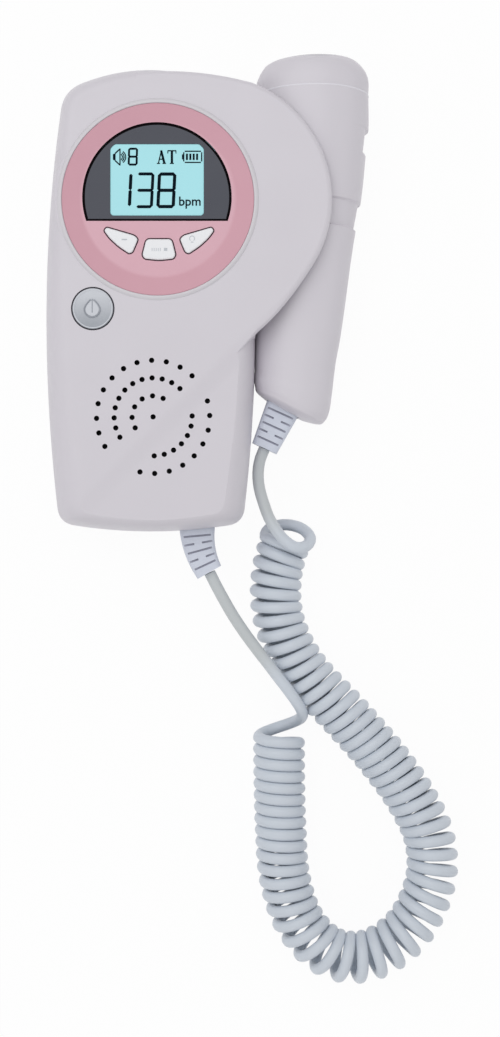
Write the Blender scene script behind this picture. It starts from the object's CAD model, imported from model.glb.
"""A pocket fetal doppler monitor, dressed over its CAD frame: smooth shells, display, keys, probe and curly cord."""

import math

import bpy
import numpy as np
from mathutils import Matrix, Vector


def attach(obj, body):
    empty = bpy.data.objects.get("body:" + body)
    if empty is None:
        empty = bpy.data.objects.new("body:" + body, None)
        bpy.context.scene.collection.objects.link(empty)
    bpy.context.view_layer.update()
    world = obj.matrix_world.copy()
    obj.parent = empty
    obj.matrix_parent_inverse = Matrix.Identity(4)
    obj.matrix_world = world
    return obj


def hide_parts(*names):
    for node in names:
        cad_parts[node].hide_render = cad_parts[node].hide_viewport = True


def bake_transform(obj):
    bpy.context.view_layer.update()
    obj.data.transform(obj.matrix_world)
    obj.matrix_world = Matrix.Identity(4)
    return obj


bl_info = {
    "name": "Fetal Doppler Monitor",
    "version": (1, 0, 0),
    "blender": (4, 5, 0),
    "location": "3D View > Sidebar > Doppler",
    "description": "Builds the smooth pieces, finishes and stage of a pocket fetal doppler monitor",
    "category": "Object",
}

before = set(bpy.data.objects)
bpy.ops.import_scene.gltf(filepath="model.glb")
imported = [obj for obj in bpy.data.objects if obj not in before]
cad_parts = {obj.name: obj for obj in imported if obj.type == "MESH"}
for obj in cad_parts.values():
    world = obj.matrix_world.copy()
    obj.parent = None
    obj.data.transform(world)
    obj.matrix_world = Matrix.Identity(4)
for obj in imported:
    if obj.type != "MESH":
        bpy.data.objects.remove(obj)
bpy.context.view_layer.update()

MM = 0.001
TAU = 2 * math.pi

# Housing, in millimetres. Z rises from the flat back to the face.
UNIT_HEIGHT = 35.0
PARTING = 17.0
SEAM = 0.2
WALL = 2.0
HOUSING_X = -0.5
ROUND_SIDES = 192
CORNERS = np.array([[27.85, -66.1], [26.3, 63.6], [-26.3, 63.6], [-27.85, -66.1]])
EDGE_MIDDLES = np.array([[31.6, -0.1], [0.0, 69.9], [-31.6, -0.1], [0.0, -68.7]])
EDGE_DRAW = np.array([[-1.0, 0.0], [0.0, -1.0], [1.0, 0.0], [0.0, 1.0]])
CORNER_DRAW = np.array([[-1.0, 1.0], [-1.0, -1.0], [1.0, -1.0], [1.0, 1.0]])
# The band draws in less at the ends and towards the top than along the sides
EDGE_SHARES = np.array([[0.8], [0.55], [0.8], [0.55]])
CORNER_SHARES = np.array([[1.0, 0.55], [0.5, 0.55], [0.5, 0.55], [1.0, 0.55]])
CORNER_RADII = np.array([4.3, 5.65, 5.65, 4.3])
FACE_BAND = 9.5
BACK_BAND = 3.4
# Each shell: its start, its end, its band and the power of its superellipse
FRONT_SHELL = (PARTING + SEAM / 2, UNIT_HEIGHT, FACE_BAND, 2.6)
REAR_SHELL = (PARTING - SEAM / 2, 0, BACK_BAND, 2.8)

# Lobe: a round end and a long curve down to the step
LOBE_CENTRE = (17.0, 29.85)
LOBE_RADIUS = 36.8
LOBE_PLATE = 2.2
LOBE_EDGE = 1.6
LOBE_UNDER = 0.4
LOBE_ARC = (-33.0, 69.3)
LOBE_HIP = np.array([[13.0, 68.8], [-4.0, 67.3]])
LOBE_BEND = np.array([40.0, -2.6])
LOBE_CORNER = np.array([32.3, -9.1])
LOBE_HOLD = 12.0
FLANGE_RADIUS = 35.2
FLANGE_THICKNESS = 2.0

# Step across the face
STEP_START = np.array([31.0, -11.0])
STEP_END = np.array([-21.0, -62.5])
STEP_SLOPE = 3.5
STEP_DEPTHS = (0.9, 0.6, 0.3)
STEP_REACH = 90

# Bezel, display and keys
BEZEL_CENTRE = (2.3, 29.5)
BEZEL_RADIUS = 28.4
BEZEL_FLAT_RADIUS = 22.7
BEZEL_TOP = 35.2
BEZEL_FACE = 34.3
BEZEL_FLOOR = 33.2
RIM_WIDTH = 1.5
RIM_FOOT = BEZEL_FLOOR - 0.4
RIM_RISE = 0.6
BEZEL_FIT = 0.02
BOSS_FIT = 0.2
BOSS_MARGIN = 0.9
BOSS_HEIGHT = 6.0
BOSS_EDGE = 1.2
WINDOW_CENTRE = (2.0, 30.3)
WINDOW_RADIUS = 21.95
WINDOW_FLOOR = 6.95
WINDOW_TOP = 34.1
WINDOW_BOTTOM = 32.6
WINDOW_BORDER = 0.62
WINDOW_GAP = 0.15
WINDOW_EDGE = 0.25
# Heights between which an opening is cut through the bezel or the window
THROUGH = (30, 37)
DISPLAY_SIZE = (27.5, 21.0)
DISPLAY_CENTRE = (2.0, 35.42)
DISPLAY_TOP = 33.9
DISPLAY_BOTTOM = 31.0
DISPLAY_CORNER = 1.3
GLASS_HALF = (16.85, 12.0)
GLASS_TOP = 32.4
KEY_TOP = 34.9
KEY_FOOT = 32.6
KEY_EDGE = 0.5
KEY_FLANGE_WIDTH = 0.7
KEY_STEM_RADIUS = 1.3
KEY_FLANGE = (32.2, 33.0)
KEY_STEM = (31.2, 32.5)
KEY_FRAME = (33.25, 34.15)
KEY_SIDES = {"left": -1, "center": 0, "right": 1}
KEY_GAP = 0.36
WELD_GAP = 0.001
SIDE_KEY_CENTRE = (11.2, 17.4)
SIDE_KEY_SIZE = (10.0, 7.7)
CENTRE_KEY_CENTRE = (0.0, 14.7)
CENTRE_KEY_SIZE = (9.8, 6.2)
KEY_MIDDLE = 2.6
SIDE_KEY_SHARES = np.array(
    [[0.5, 0.38], [0.43, 0.5], [-0.39, 0.19], [-0.5, 0.05], [-0.34, -0.44], [-0.24, -0.5], [0.07, -0.23], [0.34, 0.09]]
)
CENTRE_KEY_SHARES = np.array(
    [[0.38, 0.5], [-0.38, 0.5], [-0.5, -0.26], [-0.43, -0.43], [0.0, -0.5], [0.43, -0.43], [0.5, -0.26]]
)

# Power button, speaker, screws
POWER_CENTRE = (-16.9, -2.8)
POWER_RADIUS = 6.02
POWER_HOLE = 6.42
# Heights at which the solver cuts the hole cleanly
POWER_CUT = (31.3, UNIT_HEIGHT + 1.7)
POWER_COLLAR = (33.2, 34.6)
POWER_FLANGE = 7.4
POWER_STEM = 2.4
# The stem's foot, and the flange's lower and upper side
POWER_LEVELS = (31.4, 31.5, 32.6)
POWER_TOP = 35.25
SPEAKER_CENTRE = (0.9, -34.75)
HOLE_RADIUS = 0.8
HOLE_DEPTH = 2.4
# Each row of holes: its radius, its first and last angle and the angle between two holes
HOLE_RINGS = (
    (16.7, 45, 210, 15),
    (16.7, -105, 15, 15),
    (11.5, 45, 210, 15),
    (11.5, -90, 0, 15),
    (6.2, 60, 210, 30),
)
HOLE_TURN = 1.5
SCREW_PLACES = ((-22.0, 57.5), (22.0, 57.5), (-22.0, -57.0), (22.0, -57.0))
SCREW_HEAD_RADIUS = 2.4
SCREW_WELL_RADIUS = 2.75
SCREW_WELL_DEPTH = 4.0
SCREW_SHANK_RADIUS = 1.2
SCREW_SLOT = (1.35, 0.28)
# The height of each kind's head, and its length
HOUSING_SCREW = (2.1, 22.8)
PROBE_SCREW = (-8.9, 12.5)

# Battery bay and cover
BAY_HALF_WIDTH = 14.95
BAY_LOW = -65.35
BAY_HIGH = -10.65
BAY_WALL = 2.4
BAY_END_WALL = 1.4
BAY_DEPTH = 13
COVER_THICKNESS = 1.9
COVER_LIP = 1.0
LIP_THICKNESS = 0.9
COVER_GAP = 0.25
COVER_PLATE = 1.45
COVER_END = -75
GRIP_START = -60.5
GRIP_PITCH = 2.2
GRIP_COUNT = 5
GRIP_HALF = 8
GRIP_DEPTH = 0.35

# Probe, in its own frame: +Y along the head's axis from the middle of the seam
PROBE_ORIGIN = (48.3, 64.3, 17.4)
PROBE_LEAN = math.radians(-3.5)
HEAD_HALF_WIDTH = 17.5
HEAD_HALF_THICKNESS = 15.0
HANDLE_LENGTH = 96.1
CAP_LENGTH = 11.95
END_SLANT = 0.43
PROBE_WALL = 1.8
PROBE_SQUARENESS = 2.25
PROBE_SIDES = 144
PROBE_REACH = 60
PROBE_SPLIT = 0.1
HOLLOW_LENGTH = 86
SEAM_HALF = 0.12
SEAM_FADE = 9
GROOVE_START = 32.7
GROOVE_WIDTH = 7.95
GROOVE_DEPTH = 0.8
NOTCH_START = 10.2
NOTCH_LENGTH = 7.3
NOTCH_DEPTH = 1.1
NOTCH_SPREAD = 0.42
FACE_RADIUS = 12.4
FACE_SEAT = 8.0
FACE_REACH = 14.0
# Shares: place along the handle, sideways shift, half width, half thickness, slant
HANDLE_SHARES = np.array(
    [
        [0.0, 0.0, 0.989, 1.0, 0.0],
        [0.099, 0.006, 1.02, 1.0, 0.0],
        [0.198, 0.033, 0.969, 0.985, 0.0],
        [0.27, 0.05, 0.94, 0.96, 0.0],
        [0.343, 0.074, 0.889, 0.925, 0.0],
        [0.43, 0.076, 0.83, 0.885, 0.0],
        [0.541, 0.075, 0.776, 0.84, 0.0],
        [0.656, 0.053, 0.754, 0.8, 0.0],
        [0.77, 0.015, 0.739, 0.765, 0.0],
        [0.864, -0.004, 0.699, 0.74, 0.0],
        [0.918, -0.013, 0.682, 0.725, 0.58],
        [0.955, -0.031, 0.67, 0.72, 0.9],
        [0.982, -0.052, 0.622, 0.69, 1.0],
        [0.997, -0.071, 0.554, 0.62, 1.0],
        [1.004, -0.07, 0.445, 0.49, 1.0],
        [1.013, -0.045, 0.26, 0.29, 1.0],
    ]
)
# Rows of points down the handle, closer together at the groove, the notch and the slanted end
HANDLE_ROWS = np.concatenate([
    np.linspace(*span)
    for span in (
        (0, 9.5, 12), (9.9, 18, 24), (18.8, 31.8, 14), (32.1, 33.3, 9), (33.9, 39.8, 6), (40.1, 41.3, 9),
        (42.1, 83, 34), (84, 94, 16), (94.4, 96.1, 9), (96.3, 97.3, 6),
    )
])
# Shares: place along the head's dome, half width, half thickness, sideways shift, lean
CAP_SHARES = np.array(
    [
        [0.0, 0.983, 0.983, 0.0, 0.0],
        [0.35, 0.969, 0.978, 0.009, 0.0],
        [0.5, 0.93, 0.955, 0.025, -0.003],
        [0.62, 0.874, 0.925, 0.036, -0.008],
        [0.75, 0.745, 0.84, 0.08, -0.018],
        [0.84, 0.59, 0.72, 0.14, -0.03],
        [0.9, 0.468, 0.54, 0.157, -0.03],
        [0.96, 0.315, 0.36, 0.155, -0.025],
        [1.0, 0.1, 0.12, 0.15, -0.02],
    ]
)
PROBE_SCREWS = ((0.93, -67.27), (0.93, -80.72))
PROBE_HEAD_LEVEL = -7.0

# Strain reliefs
RELIEF_LENGTH = 13.9
RELIEF_ROOT = 4.0
RELIEF_WIDTH = 10.7
RELIEF_END_WIDTH = 8.15
RELIEF_FLAT = 0.805
RELIEF_CORNER = 2.4
SLOT_ROWS = 5
SPINE_HALF = 1.2
SLOT_HALF = 0.3
SLOT_DEPTH = 0.65
MAIN_RELIEF = (13.4, -67.75, 17.4)
MAIN_RELIEF_BEND = 3.7
PROBE_RELIEF = (-2.8, -95.4, 0.0)
PROBE_RELIEF_TURN = math.radians(-21)
# Each hole: its place, margin, first and last distance along its line, and turn
MAIN_HOLE = (MAIN_RELIEF, 0.3, RELIEF_ROOT + 2, -4)
PROBE_HOLE = (PROBE_RELIEF, 0.15, RELIEF_ROOT + 2, -6, PROBE_RELIEF_TURN)

# Cord: the routes are those of the CAD solids
CORD_SHOWN = 1.79
CORD_SIDES = 14
LEAD_FADE = 9
COIL_RADIUS = 6.3
COIL_Z = 8.12
COIL_CURLS = 57
SPLIT_CURLS = 9
COIL_ROUTE = [
    (40.3, -71.9), (37.9, -81.2), (37.6, -91.2), (39.6, -99.9), (45.7, -111.3), (59.9, -126.8), (70.1, -138.4),
    (79.5, -151.5), (85.2, -163.8), (85.6, -177.3), (78.3, -192.6), (66, -200.6), (54.6, -199.7), (45.3, -190.7),
    (40.4, -176.9), (39, -160), (38.6, -145), (38.5, -132.7),
]
# Shares: place along the coil, pitch
PITCH_SHARES = np.array(
    [[0, 0.98], [0.12, 1.1], [0.2, 1.08], [0.3, 0.95], [0.4, 1.02], [0.48, 1.15], [0.56, 1.22], [0.62, 1.34],
     [0.72, 1.3], [0.8, 1.06], [0.88, 0.93], [1, 0.92]]
)
PROBE_LEAD_ROUTE = [
    (33.9, -43.45, 17.4), (32.6, -46.7, 17.3), (32, -50.2, 17.2), (32.1, -53.8, 17.2), (32.8, -57.3, 17.3),
]
FIRST_CURL_ROUTE = [
    (33.9, -60.8, 17.5), (35.1, -64.1, 17.9), (37.3, -68, 18.4), (40.1, -71.5, 18.6), (43.6, -73.6, 18.2),
    (46.7, -73.2, 16), (48.1, -70.9, 12.8), (46.1, -68.2, 9.4), (42.1, -66.8, 6.9), (38.3, -66.9, 5.2),
    (35.2, -68.2, 4.9),
]
LAST_CURL_ROUTE = [
    (33.6, -131.9, 3.9), (38, -130.5, 1.9), (42.6, -128.7, 3.5), (45.5, -126.6, 7.6), (45.4, -123.9, 11.9),
    (43.2, -120.2, 14.2), (40.6, -116.6, 14.9),
]
MAIN_LEAD_ROUTE = [
    (38.5, -113.9, 15), (35, -109.3, 15), (31.2, -104.4, 15.1), (27.7, -99.6, 15.5), (24.4, -94.6, 16.1),
    (21.4, -89.4, 16.8), (19, -84.9, 17.2), (17.2, -81.3, 17.4),
]

# Photograph: the camera looks straight down at the face
CAMERA_PLACE = (0.0295, -0.06475, 0.540)
CAMERA_LENS = 59.4
FLOOR_HALF = 2.0
FLOOR_WHITE = 0.95
SURROUND = 0.47


# Curves and outlines, worked out as whole arrays


def unit(v):
    """Vectors brought to length one along the last axis."""
    return v / np.linalg.norm(v, axis=-1, keepdims=True)


def left_of(v):
    """Flat vectors turned a quarter to the left."""
    return np.stack([-v[..., 1], v[..., 0]], axis=-1)


def ray(angle):
    """Flat unit vectors at angles from +X."""
    return np.stack([np.cos(angle), np.sin(angle)], axis=-1)


def round_angles(sides):
    """Even angles of a full turn."""
    return np.linspace(0, TAU, sides, endpoint=False)


def oblong(x0, x1, y0, y1):
    """The four corners of a rectangle, from (x0, y0) by way of (x1, y0)."""
    return [(x0, y0), (x1, y0), (x1, y1), (x0, y1)]


def lifted(flat, z):
    """Flat points at one height, or each at its own."""
    return np.insert(flat, 2, z, axis=1)


def parabola(start, control, end, t):
    """B(t) = (1 - t)^2 start + 2 t (1 - t) control + t^2 end."""
    t = np.asarray(t)[:, None]
    return (1 - t) ** 2 * start + 2 * t * (1 - t) * control + t**2 * end


def bowed(start, middle, end, t):
    """A parabola from start to end that passes middle at half way: its control is 2 m - (s + e) / 2."""
    return parabola(start, 2 * middle - (start + end) / 2, end, t)


def housing_outline(band, inward=0.0, sides=56, ends=36, corners=16):
    """The housing's closed outline, drawn in by its band and wall: four bowed edges, joined by corner parabolas."""
    corner = CORNERS + CORNER_DRAW * (CORNER_SHARES * band + inward)
    middle = EDGE_MIDDLES + EDGE_DRAW * (EDGE_SHARES * band + inward)
    radii = CORNER_RADII * max(1 - (band + inward) / (2 * (CORNER_RADII[0] + CORNER_RADII[1])), 0.5)
    fine = np.linspace(0, 1, 200)
    lengths = [along(bowed(corner[i], middle[i], corner[(i + 1) % 4], fine))[-1] for i in range(4)]
    points = []
    for i in range(4):
        after = (i + 1) % 4
        first = radii[i] / lengths[i]
        last = 1 - radii[after] / lengths[i]
        count = sides if i % 2 == 0 else ends
        edge = bowed(corner[i], middle[i], corner[after], np.linspace(first, last, count + 1))
        start = bowed(corner[after], middle[after], corner[(after + 1) % 4], [radii[after] / lengths[after]])[0]
        points += [edge, parabola(edge[-1], corner[after], start, np.linspace(0, 1, corners + 1)[1:-1])]
    return np.concatenate(points) + [HOUSING_X, 0]


def rounded(points, radius, steps=6, closed=True):
    """A polyline whose corners are parabolas that start and end a radius, or less on a short side, from the corner."""
    points = np.asarray(points, float)
    count = len(points)
    parts = []
    for i in range(count):
        if not closed and i in (0, count - 1):
            parts.append(points[i : i + 1])
            continue
        before = points[i - 1] - points[i]
        after = points[(i + 1) % count] - points[i]
        reach = min(radius, 0.45 * np.linalg.norm(before), 0.45 * np.linalg.norm(after))
        start, end = points[i] + unit(before) * reach, points[i] + unit(after) * reach
        parts.append(parabola(start, points[i], end, np.linspace(0, 1, steps + 1)))
    return np.concatenate(parts)


def drawn_in(outline, distance):
    """A closed outline moved inwards: each point goes along the mean normal of its two edges."""
    edge = np.roll(outline, -1, axis=0) - outline
    edge /= np.linalg.norm(edge, axis=1)[:, None] + 1e-12
    normal = left_of(edge)
    mean = normal + np.roll(normal, 1, axis=0)
    mean /= np.linalg.norm(mean, axis=1)[:, None] + 1e-12
    x, y = outline.T
    area = np.sum(x * np.roll(y, -1) - np.roll(x, -1) * y)
    return outline + mean * distance * (1 if area > 0 else -1)


def smooth_through(table, at):
    """Each column of a table as a cubic through its values by the first column, with slopes from neighbours."""
    places = table[:, 0]
    i = np.clip(np.searchsorted(places, at) - 1, 0, len(places) - 2)
    h = places[i + 1] - places[i]
    t = (at - places[i]) / h
    h00, h10 = 2 * t**3 - 3 * t**2 + 1, t**3 - 2 * t**2 + t
    h01, h11 = -2 * t**3 + 3 * t**2, t**3 - t**2
    for values in table[:, 1:].T:
        slopes = np.gradient(values, places)
        yield h00 * values[i] + h10 * h * slopes[i] + h01 * values[i + 1] + h11 * h * slopes[i + 1]


def cord_curve(points, spacing):
    """A centripetal Catmull-Rom curve through the points, read at even distances along it."""
    p = np.array(points, float)
    p = np.concatenate([[2 * p[0] - p[1]], p, [2 * p[-1] - p[-2]]])
    d = np.linalg.norm(np.diff(p, axis=0), axis=1)[:, None] ** 0.5
    x0, x1, x2, x3 = p[:-3], p[1:-2], p[2:-1], p[3:]
    d0, d1, d2 = d[:-2], d[1:-1], d[2:]
    m1 = ((x1 - x0) / d0 - (x2 - x0) / (d0 + d1) + (x2 - x1) / d1) * d1
    m2 = ((x2 - x1) / d1 - (x3 - x1) / (d1 + d2) + (x3 - x2) / d2) * d1
    t = np.linspace(0, 1, 60, endpoint=False)[None, :, None]
    x1, x2, m1, m2 = x1[:, None], x2[:, None], m1[:, None], m2[:, None]
    line = x1 + m1 * t + (-3 * x1 + 3 * x2 - 2 * m1 - m2) * t**2 + (2 * x1 - 2 * x2 + m1 + m2) * t**3
    return evenly(np.concatenate([line.reshape(-1, 3), p[-2:-1]]), spacing)


def along(line):
    """Distances along a line of points."""
    return np.concatenate([[0], np.cumsum(np.linalg.norm(np.diff(line, axis=0), axis=1))])


def read_line(line, places, at):
    """A line of points known at some places, read at others by straight steps."""
    return np.stack([np.interp(at, places, column) for column in line.T], axis=1)


def evenly(line, spacing):
    """The same line, read at even distances."""
    s = along(line)
    return read_line(line, s, np.linspace(0, s[-1], max(2, round(s[-1] / spacing)) + 1))


# Meshes


def linked(name, data):
    """A new object in the scene."""
    obj = bpy.data.objects.new(name, data)
    bpy.context.collection.objects.link(obj)
    return obj


def put(name, solid, *paints, body=None, slot=None, turn=None, keep_sharp=34):
    """Makes a piece of millimetre vertices and faces, with its materials, its place, its body and its slot."""
    vertices, faces = solid
    mesh = bpy.data.meshes.new(name)
    mesh.from_pydata((np.asarray(vertices, float) * MM).tolist(), [], faces)
    obj = linked(name, mesh)
    for paint in paints:
        mesh.materials.append(material(paint))
    finish_mesh(mesh, keep_sharp)
    if turn is not None:
        mesh.transform(turn)
    if body:
        hold(obj, body, slot)
    return obj


def hold(obj, body, slot, *nodes):
    """Rides a piece on its body and names its slot and the CAD nodes that it stands for."""
    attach(obj, body)
    if nodes:
        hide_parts(*nodes)


def finish_mesh(mesh, keep_sharp):
    """Smooth shading, with edges sharper than an angle kept crisp."""
    mesh.validate()
    mesh.shade_smooth()
    if keep_sharp:
        mesh.set_sharp_from_angle(angle=math.radians(keep_sharp))
    mesh.update()


def complete(obj, body, slot, *nodes, keep_sharp=30, turn=None):
    """Ends a carved piece: larger faces decide its normals, so that flats stay flat, and it is placed and held."""
    finish_mesh(obj.data, keep_sharp)
    modify(obj, "WEIGHTED_NORMAL", keep_sharp=True, weight=100)
    if turn is not None:
        obj.data.transform(turn)
    hold(obj, body, slot, *nodes)


def signed_volume(vertices, faces):
    """Six times the volume inside the faces, from fans of each face."""
    total = 0.0
    for face in faces:
        fan = vertices[list(face[1:])]
        total += np.sum(np.cross(fan[:-1], fan[1:]) @ vertices[face[0]])
    return total


def skin(rings, closed=False):
    """Vertices and outward faces of a tube of equal rings: closed on itself, or with one face at each end."""
    rings = np.asarray(rings, float)
    rows, columns = rings.shape[:2]
    vertices = rings.reshape(-1, 3)
    r, c = np.meshgrid(np.arange(rows if closed else rows - 1), np.arange(columns), indexing="ij")
    r2, c2 = (r + 1) % rows * columns, (c + 1) % columns
    r = r * columns
    faces = np.stack([r + c, r + c2, r2 + c2, r2 + c], axis=-1).reshape(-1, 4).tolist()
    if not closed:
        faces.append(list(range(columns))[::-1])
        faces.append(list(range((rows - 1) * columns, rows * columns)))
    if signed_volume(vertices, faces) < 0:
        faces = [face[::-1] for face in faces]
    return vertices, faces


def turned(profile, centre, sides=128):
    """Vertices and faces of a profile of (radius, height) turned round a vertical line: x = r cos a, y = r sin a."""
    profile = np.asarray(profile, float)
    ring = profile[:, 0] > 0
    r, z = profile[ring, :1], profile[ring, 1:]
    angle = round_angles(sides)
    rings = np.stack([centre[0] + r * np.cos(angle), centre[1] + r * np.sin(angle), z + 0 * angle], axis=-1)
    return skin(rings, closed=bool(ring.all()))


def lathe(section, radius, centre, sides=128):
    """A section from the middle line and back to it, with its corners rounded, turned into a solid."""
    return turned(rounded(section, radius, 5, closed=False), centre, sides)


def plate(outline, low, high, edge=0.0, steps=4):
    """An outline carried up, with its upper edge rounded: inset e (1 - cos a), height e sin a from the rim."""
    outline = np.asarray(outline, float)
    a = np.linspace(0, math.pi / 2, steps + 1) if edge else np.zeros(1)
    insets = [0.0, *edge * (1 - np.cos(a))]
    heights = [low, *high - edge + edge * np.sin(a)]
    return skin([lifted(drawn_in(outline, inset) if inset else outline, z) for inset, z in zip(insets, heights)])


def soft_stack(outline, low, high, edge, under=0.0):
    """Outlines stacked with rounded rims: an inset e (1 - cos a) at a height e sin a from the edge."""
    a = np.linspace(0, math.pi / 2, 9)
    above = [(edge * (1 - math.cos(v)), high - edge + edge * math.sin(v)) for v in a]
    below = [(under * (1 - math.sin(v)), low + under - under * math.cos(v)) for v in a] if under else [(0.0, low)]
    return skin([lifted(outline(inset), z) for inset, z in below + above])


def block(x0, x1, y0, y1, z0, z1):
    """A plain box between two corners."""
    return plate(oblong(x0, x1, y0, y1), z0, z1)


def round_outline(centre, radius, sides):
    """A circle as an outline."""
    return centre + radius * ray(round_angles(sides))


def together(solids):
    """Several separate solids as one set of vertices and faces."""
    vertices, faces, start = [], [], 0
    for v, f in solids:
        vertices.append(np.asarray(v))
        faces += [[i + start for i in face] for face in f]
        start += len(v)
    return np.concatenate(vertices), faces


def pegs(places, radius, low, high, sides=48):
    """Round pegs between two heights, one at each place."""
    return together([plate(round_outline(place, radius, sides), low, high) for place in places])


def carve(obj, operation, solid, index=0):
    """Joins a solid to a piece, cuts it away or keeps what they share, and gives its faces a material index."""
    tool = put("carving_tool", solid, keep_sharp=0)
    for paint in obj.data.materials:
        tool.data.materials.append(paint)
    tool.data.polygons.foreach_set("material_index", np.full(len(tool.data.polygons), index))
    modify(obj, "BOOLEAN", operation=operation, solver="EXACT", object=tool)
    discard(tool)


def join(obj, *solids):
    """Joins solids to a piece, one after the other."""
    for solid in solids:
        carve(obj, "UNION", solid)


def cut(obj, *solids, index=0):
    """Cuts solids away from a piece, one after the other."""
    for solid in solids:
        carve(obj, "DIFFERENCE", solid, index)


def discard(obj):
    """Removes a piece and its mesh."""
    mesh = obj.data
    bpy.data.objects.remove(obj)
    bpy.data.meshes.remove(mesh)


def taken(obj):
    """The vertices and faces of a piece in millimetres, and the piece itself removed."""
    vertices = np.empty(len(obj.data.vertices) * 3)
    obj.data.vertices.foreach_get("co", vertices)
    faces = [list(polygon.vertices) for polygon in obj.data.polygons]
    discard(obj)
    return vertices.reshape(-1, 3) / MM, faces


def evaluated_mesh(obj):
    """A new mesh of what an object shows."""
    return bpy.data.meshes.new_from_object(obj.evaluated_get(bpy.context.evaluated_depsgraph_get()))


def modify(obj, kind, **settings):
    """Turns what a modifier gives into the piece's own mesh."""
    step = obj.modifiers.new(kind, kind)
    for name, value in settings.items():
        setattr(step, name, value)
    mesh, old = evaluated_mesh(obj), obj.data
    obj.modifiers.clear()
    obj.data = mesh
    mesh.name = obj.name
    bpy.data.meshes.remove(old)


def placed(place, turn=0.0):
    """A place in millimetres and a turn about Z, for a mesh in metres."""
    return Matrix.Translation([c * MM for c in place]) @ Matrix.Rotation(turn, 4, "Z")


PROBE_TURN = placed(PROBE_ORIGIN, PROBE_LEAN)


# Materials


def feed(tree, inputs, node=None):
    """Gives inputs of a node, or else of the main shader, their values, or links where a value is an output."""
    node = node or tree.nodes["Principled BSDF"]
    for name, value in inputs.items():
        if isinstance(value, bpy.types.NodeSocket):
            tree.links.new(value, node.inputs[name])
        else:
            node.inputs[name].default_value = value
    return node


def add(tree, kind, inputs=None, **settings):
    """A new shader node with its settings and its inputs."""
    node = tree.nodes.new("ShaderNode" + kind)
    for name, value in settings.items():
        setattr(node, name, value)
    return feed(tree, inputs or {}, node)


def new_material(name, colour, roughness, specular=0.5):
    """A node material with a plain colour and roughness to build on, and its node tree."""
    made = bpy.data.materials.new(name)
    made.use_nodes = True
    feed(made.node_tree, {"Base Color": (*colour, 1), "Roughness": roughness, "Specular IOR Level": specular})
    return made, made.node_tree


def noise(tree, scale, detail=2.0):
    """Noise on object coordinates."""
    place = add(tree, "TexCoord").outputs["Object"]
    return add(tree, "TexNoise", {"Vector": place, "Scale": scale, "Detail": detail}).outputs["Fac"]


def mix_colours(tree, share, first, second):
    """The main shader's colour goes from the first to the second by a share."""
    mix = add(tree, "Mix", {"Factor": share, "A": (*first, 1), "B": (*second, 1)}, data_type="RGBA")
    feed(tree, {"Base Color": mix.outputs["Result"]})


def vary_colour(tree, colour, share, scale):
    """The colour drifts by a share over broad soft patches."""
    low, high = ([min(1, c * part) for c in colour] for part in (1 - share, 1 + share))
    mix_colours(tree, noise(tree, scale), low, high)


def vary_roughness(tree, low, high, scale):
    """The roughness drifts between two values, as handled plastic does."""
    ranges = {"Value": noise(tree, scale, 3), "From Min": 0.3, "From Max": 0.7, "To Min": low, "To Max": high}
    feed(tree, {"Roughness": add(tree, "MapRange", ranges).outputs["Result"]})


def grain(tree, scale, depth, strength=0.35):
    """A fine moulded grain as bump."""
    bump = add(tree, "Bump", {"Height": noise(tree, scale), "Strength": strength, "Distance": depth})
    feed(tree, {"Normal": bump.outputs["Normal"]})


def place_in(tree, centre, axis):
    """Millimetres from a centre in the piece's own place: along an axis, or straight across for LENGTH."""
    place = add(tree, "TexCoord").outputs["Object"]
    shift = {"Vector": place, "Location": (-centre[0], -centre[1], 0), "Scale": (1 / MM, 1 / MM, 0)}
    flat = {0: add(tree, "Mapping", shift).outputs["Vector"]}
    if axis == "LENGTH":
        return add(tree, "VectorMath", flat, operation="LENGTH").outputs["Value"]
    return add(tree, "SeparateXYZ", flat).outputs[axis]


def blended(tree, value, low, high, first, second):
    """The colour goes from the first to the second while a value goes from low to high."""
    ranges = {"Value": value, "From Min": low, "From Max": high}
    share = add(tree, "MapRange", ranges, interpolation_type="SMOOTHSTEP").outputs["Result"]
    mix_colours(tree, share, first, second)


def toned(colour, shares):
    """A colour with each of its parts scaled."""
    return [c * share for c, share in zip(colour, shares)]


def moulded(name, colour, roughness=0.42, grain_scale=2600, grain_depth=0.00003, drift=0.012):
    """Satin moulded plastic: soft drift in colour and gloss, and a fine grain."""
    made, tree = new_material(name, colour, roughness, 0.4)
    vary_colour(tree, colour, drift, 28)
    vary_roughness(tree, roughness - 0.05, roughness + 0.06, 90)
    grain(tree, grain_scale, grain_depth)
    return made


def printed(name, colour):
    """Dull ink that shines hardly any light back."""
    made, tree = new_material(name, colour, 0.8, 0.05)
    vary_colour(tree, colour, 0.05, 200)
    return made


def ringed(name, colour, centre, radius):
    """Satin plastic with a deeper shade on the sloped ring outside a radius."""
    made, tree = new_material(name, colour, 0.36)
    deep = toned(colour, (0.9, 0.82, 0.84))
    blended(tree, place_in(tree, centre, "LENGTH"), radius - 0.6, radius + 0.9, colour, deep)
    vary_roughness(tree, 0.32, 0.42, 90)
    grain(tree, 2600, 0.00002)
    return made


def graded(name, low, high, centre, radius):
    """Silver paint with a sparkle, a little darker towards the bottom."""
    made, tree = new_material(name, low, 0.3)
    blended(tree, place_in(tree, centre, "Y"), -radius, radius, low, high)
    vary_roughness(tree, 0.25, 0.4, 300)
    grain(tree, 5200, 0.00002, 0.6)
    return made


def two_tone(name, colour, shares):
    """A cord's satin jacket, which takes a second tone where the piece's own "lead_share" says so."""
    made, tree = new_material(name, colour, 0.38, 0.4)
    share = add(tree, "Attribute", attribute_name="lead_share").outputs["Fac"]
    blended(tree, share, 0, 1, colour, toned(colour, shares))
    vary_roughness(tree, 0.33, 0.44, 90)
    grain(tree, 1800, 0.00002)
    return made


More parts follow.
